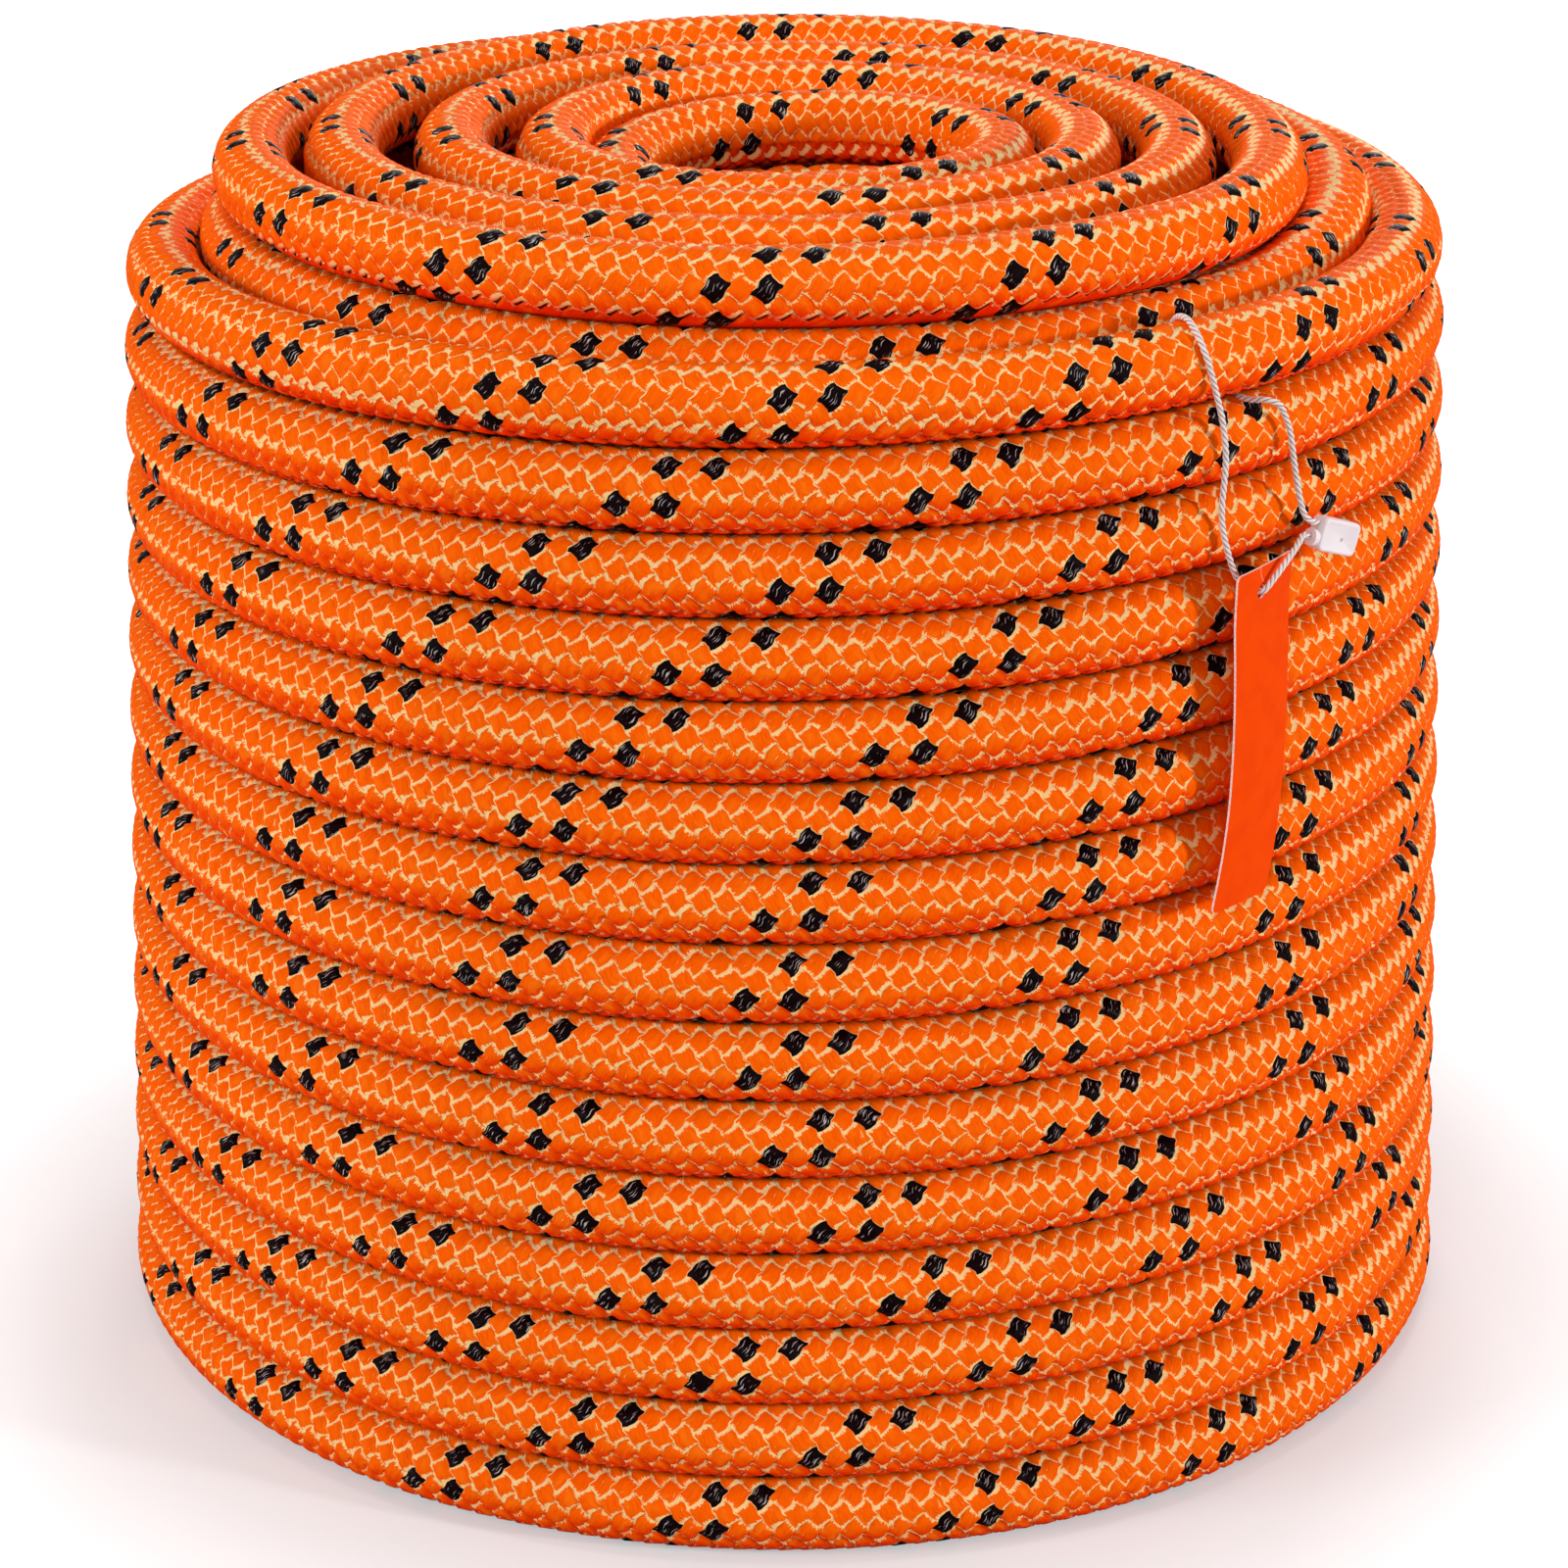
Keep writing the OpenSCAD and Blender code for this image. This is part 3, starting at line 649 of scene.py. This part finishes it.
# from the plug, through the tag's hole, up the left leg, over the top wall turn, back under it and
# down to the seal
STRING = np.concatenate([
    from_seal([[0, -SEAL_L / 2 - 1.05, -0.9], [0, -SEAL_L / 2 - 2.5, -0.9]]),
    [[HOLE_X - 0.7, HOLE_Y + 8.6, HOLE_Z + 6], [HOLE_X + 0.2, HOLE_Y + 6.2, HOLE_Z + 4.7],
     [HOLE_X + 0.8, HOLE_Y + 3.6, HOLE_Z + 3], [HOLE_X + 1.1, HOLE_Y + 1.2, HOLE_Z + 1.2],
     [HOLE_X + 0.9, HOLE_Y + 0.1, HOLE_Z + 0.3], [HOLE_X - 0.8, HOLE_Y - 0.3, HOLE_Z + 0.1],
     [SWING_R + 2.2, 4.2, SWING_Z - 26.3], [SWING_R + 1.5, 2.7, SWING_Z - 24.4],
     [SWING_R + 1.2, 1.2, SWING_Z - 20.6], [SWING_R + 1, 0.1, SWING_Z - 16.5],
     [SWING_R + 0.9, -0.2, SWING_Z - 12.8], [SWING_R + 0.8, 0.2, SWING_Z - 9],
     [SWING_R + 0.5, 0.6, SWING_Z - 5], [SWING_R, 0.2, SWING_Z], [113.7, -0.7, 188.2],
     [113.45, -1.6, 191.4], [112.95, -2.3, 194.3], [112.1, -2.6, 196.2], [110.9, -2.5, 197.7],
     [109.2, -2.2, 198.8], [107.1, -1.5, 199.5], [104.8, -0.8, 199.4], [102.6, 0.1, 198.6],
     [100.5, 1, 196.9], [99.2, 1.8, 194.8], [98.9, 2.6, 192.2], [99.4, 3.8, 189.6],
     [100.8, 5.8, 187.2], [103.2, 8, UNDER_Z], [107.2, 8.6, UNDER_Z], [110.6, 9, UNDER_Z + 0.1],
     [112.8, 10, UNDER_Z + 0.4], [113.9, 11.5, UNDER_Z - 0.2], [SWING_R, 12.6, SWING_Z],
     [SWING_R + 0.3, 13.9, SWING_Z - 3.4], [SWING_R + 0.6, 14.6, SWING_Z - 7.6],
     [SWING_R + 0.9, 15.3, SWING_Z - 11.7], [SWING_R + 1.3, 16, SWING_Z - 15.3],
     [SWING_R + 1.7, 16.6, SWING_Z - 17.2]],
    from_seal([[0, -SEAL_L / 2 - 1.5, 1.5], [0, -SEAL_L / 2 + 0.1, 1.5]])])
PLIES, PLY_R, PLY_OUT, TWIST = 3, 0.28, 0.24, 3.5
SIDES, STRING_STEP = 27, 0.22
STRING_FACE = [0.3, 0.2, 0.9]


def lobed(angle):
    """Distance to the outline of three plies that lie against each other."""
    a = (angle + np.pi / PLIES) % (2 * np.pi / PLIES) - np.pi / PLIES
    return PLY_OUT * np.cos(a) + np.sqrt(PLY_R ** 2 - (PLY_OUT * np.sin(a)) ** 2)


string_line = from_tag(smooth_line(STRING, STRING_STEP))
count = len(string_line)
tan, out = smooth_frames(string_line, np.concatenate([[STRING_FACE], np.zeros((count - 1, 3))]))
turn = np.arange(SIDES) * 2 * np.pi / SIDES
along = np.arange(count) * STRING_STEP
reach = lobed(turn[None, :] + along[:, None] * 2 * np.pi / TWIST)
side = np.cross(tan, out)
skin = (string_line[:, None, :] + reach[..., None] * (np.cos(turn)[None, :, None] * out[:, None, :]
                                                       + np.sin(turn)[None, :, None] * side[:, None, :]))
string = plain_mesh("tag_string_twisted", skin.reshape(-1, 3), tube_faces(count, SIDES))
# the twist map: plies passed round the string, and mm along it
ply_at = [((k + dk) / SIDES * PLIES + (i + di) * STRING_STEP * PLIES / TWIST + 0.5, (i + di) * STRING_STEP)
          for i in range(count - 1) for k in range(SIDES) for di, dk in ((0, 0), (0, 1), (1, 1), (1, 0))]
ply_at += [(0.5, 0.0)] * (2 * SIDES)
string.data.uv_layers.new(name="Twist").data.foreach_set("uv", np.array(ply_at, np.float32).ravel())
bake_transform(string)
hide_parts("tag_string_loop", "tag_string_legs")

# the card: two edges, bent as in use, and a hole for the string
CARD_T = 0.4
LEFT_EDGE = [[119.3, -.3, 161.0], [119.5, -.6, 153.1], [119.8, -.45, 145.2], [120, -.4, 137.3],
             [120.2, -.65, 129.4], [120.45, -1.35, 121.6], [120.65, -2.65, 114], [120.9, -4.5, 106.45]]
RIGHT_EDGE = [[115, 14.9, 161.7], [115.3, 14.15, 153.5], [115.8, 13.95, 145.6], [116.35, 13.7, 137.7],
              [116.9, 13.1, 129.7], [117.5, 12.2, 121.9], [117.85, 11, 114], [118.15, 9.2, 106.4]]
CARD_W, CARD_H = 15.0, 54.0
CARD_UP, HOLE_SHARE, HOLE_R = 4.0, 0.42, 1.05  # the hole: from the top, share of the width, radius
BOW, CORNER_IN, EDGE_STEP = 0.3, 0.25, 0.02
HOLE_BOX, BOX_CUTS, RING_SHARES = 2.4, 9, (0, 0.35, 0.7, 1)  # the mesh round the hole
left_line = smooth_line(LEFT_EDGE, EDGE_STEP)
right_line = smooth_line(RIGHT_EDGE, EDGE_STEP)


def card_point(u, v):
    """Point of the bent card, u to the right and v up from its hole."""
    t = np.clip((CARD_UP - v) / CARD_H, 0, 1)
    s = u / CARD_W + HOLE_SHARE
    a, b = [np.stack([np.interp(t, np.linspace(0, 1, len(line)), line[:, k]) for k in range(3)], -1)
            for line in (left_line, right_line)]
    bow = BOW * (1 - (2 * s - 1) ** 2)
    return a + (b - a) * s[..., None] + bow[..., None] * np.array([0.95, 0.29, 0])


lo_u, hi_u = -CARD_W * HOLE_SHARE, CARD_W * (1 - HOLE_SHARE)
box_cuts = np.linspace(-HOLE_BOX, HOLE_BOX, BOX_CUTS)
us = np.unique(np.round(np.concatenate([np.linspace(lo_u, -HOLE_BOX, 6), box_cuts,
                                        np.linspace(HOLE_BOX, hi_u, 9)]), 4))
vs = np.unique(np.round(np.concatenate([np.linspace(CARD_UP - CARD_H, -HOLE_BOX, 56), box_cuts,
                                        np.linspace(HOLE_BOX, CARD_UP, 3)]), 4))
flat, quads, index = [], [], {}


def flat_id(u, v):
    """Number of the card's flat point at u, v, made if there is none."""
    key = (round(float(u), 4), round(float(v), 4))
    if key not in index:
        index[key] = len(flat)
        flat.append(key)
    return index[key]


for a, b in zip(us, us[1:]):
    for c, d in zip(vs, vs[1:]):
        if not (abs(a + b) < 2 * HOLE_BOX and abs(c + d) < 2 * HOLE_BOX):
            quads.append([flat_id(a, c), flat_id(b, c), flat_id(b, d), flat_id(a, d)])
back_cuts = np.linspace(HOLE_BOX, -HOLE_BOX, BOX_CUTS)
square = ([(x, -HOLE_BOX) for x in box_cuts[:-1]] + [(HOLE_BOX, y) for y in box_cuts[:-1]]
          + [(x, HOLE_BOX) for x in back_cuts[:-1]] + [(-HOLE_BOX, y) for y in back_cuts[:-1]])
for r0, r1 in zip(RING_SHARES, RING_SHARES[1:]):
    for k in range(len(square)):
        after = (k + 1) % len(square)
        cell = []
        for r, m in ((r0, k), (r1, k), (r1, after), (r0, after)):
            x, y = square[m]
            h = HOLE_R / math.hypot(x, y)
            cell.append(flat_id(x * (r + (1 - r) * h), y * (r + (1 - r) * h)))
        quads.append(cell)
flat = np.array(flat)
edges = dict.fromkeys(edge for q in quads for edge in zip(q, q[1:] + q[:1]))
outline = [(a, b) for a, b in edges if (b, a) not in edges]
for cu in (lo_u, hi_u):
    for cv in (CARD_UP - CARD_H, CARD_UP):
        k = np.argmin(np.hypot(flat[:, 0] - cu, flat[:, 1] - cv))
        flat[k] -= CORNER_IN * np.sign([cu, cv - CARD_UP + CARD_H / 2])
mid = card_point(flat[:, 0], flat[:, 1])
du = card_point(flat[:, 0] + 0.05, flat[:, 1]) - card_point(flat[:, 0] - 0.05, flat[:, 1])
dv = card_point(flat[:, 0], flat[:, 1] + 0.05) - card_point(flat[:, 0], flat[:, 1] - 0.05)
norm = np.cross(du, dv)
norm /= np.linalg.norm(norm, axis=1)[:, None]
n_flat = len(flat)
card_v = from_tag(np.concatenate([mid + norm * CARD_T / 2, mid - norm * CARD_T / 2]))
card_f = [tuple(q) for q in quads] + [tuple(i + n_flat for i in reversed(q)) for q in quads]
n_faces = len(card_f)
card_f += [(b, a, a + n_flat, b + n_flat) for a, b in outline]
card = plain_mesh("tag_card_bent", card_v, card_f, smooth=False)
card.data.polygons.foreach_set("material_index", [int(i >= n_faces) for i in range(len(card_f))])
flat_uv = card.data.uv_layers.new(name="Flat")
loop_v = np.zeros(len(card.data.loops), np.int32)
card.data.loops.foreach_get("vertex_index", loop_v)
flat_uv.data.foreach_set("uv", flat[loop_v % n_flat].astype(np.float32).ravel())
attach(card, "tag")
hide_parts("tag_card")

# the seal's housing: a plate with a soft rim, in rings of (inset, place through its thickness)
SEAL_RINGS = [(.55, -1.6), (.12, -1.5), (0, -1.25), (0, 1.15), (.12, 1.45), (.35, 1.6), (.62, 1.58),
              (.8, 1.42)]


def seal_outline(inset, x, corner=1.0, steps=5):
    """A rectangle with round corners."""
    half_l, half_h, r = SEAL_L / 2 - inset, SEAL_H / 2 - inset, max(corner - inset, 0.3)
    rows = []
    for k, (a, b) in enumerate(((1, 1), (-1, 1), (-1, -1), (1, -1))):
        for i in range(steps):
            t = math.radians(90 * k + 90 * i / (steps - 1))
            rows.append([x, a * (half_l - r) + r * math.cos(t), b * (half_h - r) + r * math.sin(t)])
    return rows


seal_v = [p for inset, x in SEAL_RINGS for p in seal_outline(inset, x)]
per = len(seal_v) // len(SEAL_RINGS)
seal = plain_mesh("seal_housing_moulded", from_tag(from_seal(seal_v)), tube_faces(len(SEAL_RINGS), per))
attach(seal, "tag_string")
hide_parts("seal_housing")

# three plies, with painted shade in the creases between them
string_mat, nt, bsdf = new_material("string_white", (0.8, 0.74, 0.72), 0.7, 0.1)
g = Nodes(nt)
ply = g.xyz(g.uv("Twist"))
crease = g.ramp(g.math("ABSOLUTE", g.math("SUBTRACT", g.math("FRACT", ply["X"]), 0.5)), 0.28, 0.46)
hair = g.noise(g.uv("Twist"), 1.0, (9.0, 1.2, 1.0), 2.0)
tone = g.mix((0.83, 0.77, 0.75), (0.62, 0.52, 0.5), g.ramp(hair, 0.5, 0.75))
g.put(bsdf.inputs["Base Color"], g.mix(tone, (0.36, 0.2, 0.16), crease))
g.bump(bsdf, hair, 0.4, 0.0001)
string.data.materials.append(string_mat)

# coated card: a white paper edge, and a fine crease from the hole to the top
CARD_COLOR = (0.9, 0.064, 0.0)
card_mat, nt, bsdf = new_material("card_orange", CARD_COLOR, 0.55, 0.02)
g = Nodes(nt)
flat_at = g.xyz(g.uv("Flat"))
climb = g.math("DIVIDE", g.math("SUBTRACT", CARD_UP, flat_at["Y"]), 3.0)
line_u = g.math("SUBTRACT", g.math("MULTIPLY", g.math("MULTIPLY", climb, climb), 1.5), 0.65)
crease = g.ramp(g.math("ABSOLUTE", g.math("SUBTRACT", flat_at["X"], line_u)), 0.07, 0.03)
crease = g.math("MULTIPLY", crease, g.ramp(flat_at["Y"], 1.1, 1.3))
paper = g.noise(g.uv("Flat"), 3.0, detail=4.0)
wear = g.noise(g.uv("Flat"), 0.22, detail=2.0)
tone = g.mix(CARD_COLOR, (0.86, 0.055, 0.0), g.ramp(wear, 0.4, 0.65))
g.put(bsdf.inputs["Base Color"], g.mix(tone, (0.9, 0.5, 0.36), g.math("MULTIPLY", crease, 0.8)))
g.put(bsdf.inputs["Roughness"], g.ramp(paper, 0.3, 0.7, 0.62, 0.5))
g.bump(bsdf, paper, 0.12, 0.00005)
card_edge, _, _ = grained("card_edge", (0.88, 0.74, 0.7), (0.8, 0.5, 0.4), 0.8, 0.05, 2500)
card.data.materials.append(card_mat)
card.data.materials.append(card_edge)

# moulded plastic with a small gate mark on the front
seal_mat, g, bsdf = grained("seal_white", (0.87, 0.77, 0.79), (0.83, 0.73, 0.75), 0.4, 0.3, 160)
gate = g.n.new("ShaderNodeVectorMath")
gate.operation = "DISTANCE"
g.l.new(g.object_place(), gate.inputs[0])
gate.inputs[1].default_value = Vector(from_tag(from_seal([SEAL_T / 2 - 0.15, 0.5, -0.3])) * MM)
paint = bsdf.inputs["Base Color"].links[0].from_socket
mark = g.ramp(gate.outputs["Value"], 0.00045, 0.0002)
g.put(bsdf.inputs["Base Color"], g.mix(paint, (0.5, 0.4, 0.42), mark))
seal.data.materials.append(seal_mat)
repaint("seal_plug", seal_mat)

# ---------------------------------------------------------------- floor, light, background
FLOOR = 6
floor_data = bpy.data.meshes.new("floor")
floor_data.from_pydata([(x * FLOOR, y * FLOOR, 0) for x, y in ((-1, -1), (1, -1), (1, 1), (-1, 1))],
                       [], [(0, 1, 2, 3)])
floor = bpy.data.objects.new("floor", floor_data)
scene.collection.objects.link(floor)
floor_mat, nt, bsdf = new_material("floor_white", (0.55, 0.55, 0.56), 0.9, 0.0)
g = Nodes(nt)
place = g.xyz(g.object_place())
away = g.math("SQRT", g.math("ADD", g.math("MULTIPLY", place["X"], place["X"]),
                             g.math("MULTIPLY", place["Y"], place["Y"])))
# an emission that the camera alone sees: weakest round the coil's foot, a painted shadow there over the
# real shadow that the floor keeps, and stronger far off for an even white
glow_and_painted_shadow, none = g.n.new("ShaderNodeEmission"), g.n.new("ShaderNodeEmission")
g.put(glow_and_painted_shadow.inputs["Strength"], g.math("ADD", g.ramp(away, 0.112, 0.2, 0.36, 0.72),
                                      g.ramp(away, 0.2, 1.2, 0.0, 0.22)))
g.put(none.inputs["Strength"], 0.0)
path = g.n.new("ShaderNodeLightPath").outputs
seen, both = g.n.new("ShaderNodeMixShader"), g.n.new("ShaderNodeAddShader")
for source, socket in ((path["Is Camera Ray"], seen.inputs[0]), (none.outputs[0], seen.inputs[1]),
                       (glow_and_painted_shadow.outputs[0], seen.inputs[2]), (seen.outputs[0], both.inputs[0]),
                       (bsdf.outputs[0], both.inputs[1]),
                       (both.outputs[0], g.n["Material Output"].inputs["Surface"])):
    g.l.new(source, socket)
floor.data.materials.append(floor_mat)

# the world: white to look at, and a weak fill light otherwise
FILL = 0.22
world = bpy.data.worlds.new("world")
scene.world = world
world.use_nodes = True
g = Nodes(world.node_tree)
fill, white = g.n["Background"], g.n.new("ShaderNodeBackground")
for background, strength in ((fill, FILL), (white, 1.0)):
    g.put(background.inputs["Color"], (1, 1, 1))
    g.put(background.inputs["Strength"], strength)
path = g.n.new("ShaderNodeLightPath").outputs
seen = g.math("MAXIMUM", g.math("MAXIMUM", path["Is Camera Ray"], path["Is Glossy Ray"]),
              path["Is Transmission Ray"])
chosen = g.n.new("ShaderNodeMixShader")
for source, socket in ((seen, chosen.inputs[0]), (fill.outputs[0], chosen.inputs[1]),
                       (white.outputs[0], chosen.inputs[2]),
                       (chosen.outputs[0], g.n["World Output"].inputs["Surface"])):
    g.l.new(source, socket)


def area_light(name, place, target, size, power):
    data = bpy.data.lights.new(name, "AREA")
    data.size = size
    data.energy = power
    ob = bpy.data.objects.new(name, data)
    ob.location = place
    ob.rotation_euler = (Vector(target) - Vector(place)).to_track_quat("-Z", "Y").to_euler()
    scene.collection.objects.link(ob)


area_light("right", (1.35, -0.66, 0.4), (0, 0, 0.13), 0.12, 12.5)
area_light("left", (-1.35, -0.66, 0.5), (0, 0, 0.13), 0.5, 12)
area_light("front", (-0.2, -1.6, 1.0), (0, 0, 0.1), 0.7, 6)
area_light("back", (0.3, 1.5, 0.8), (0, 0, 0.1), 0.9, 15)
area_light("top", (0.0, 0.0, 1.5), (0, 0, 0.1), 0.6, 5)
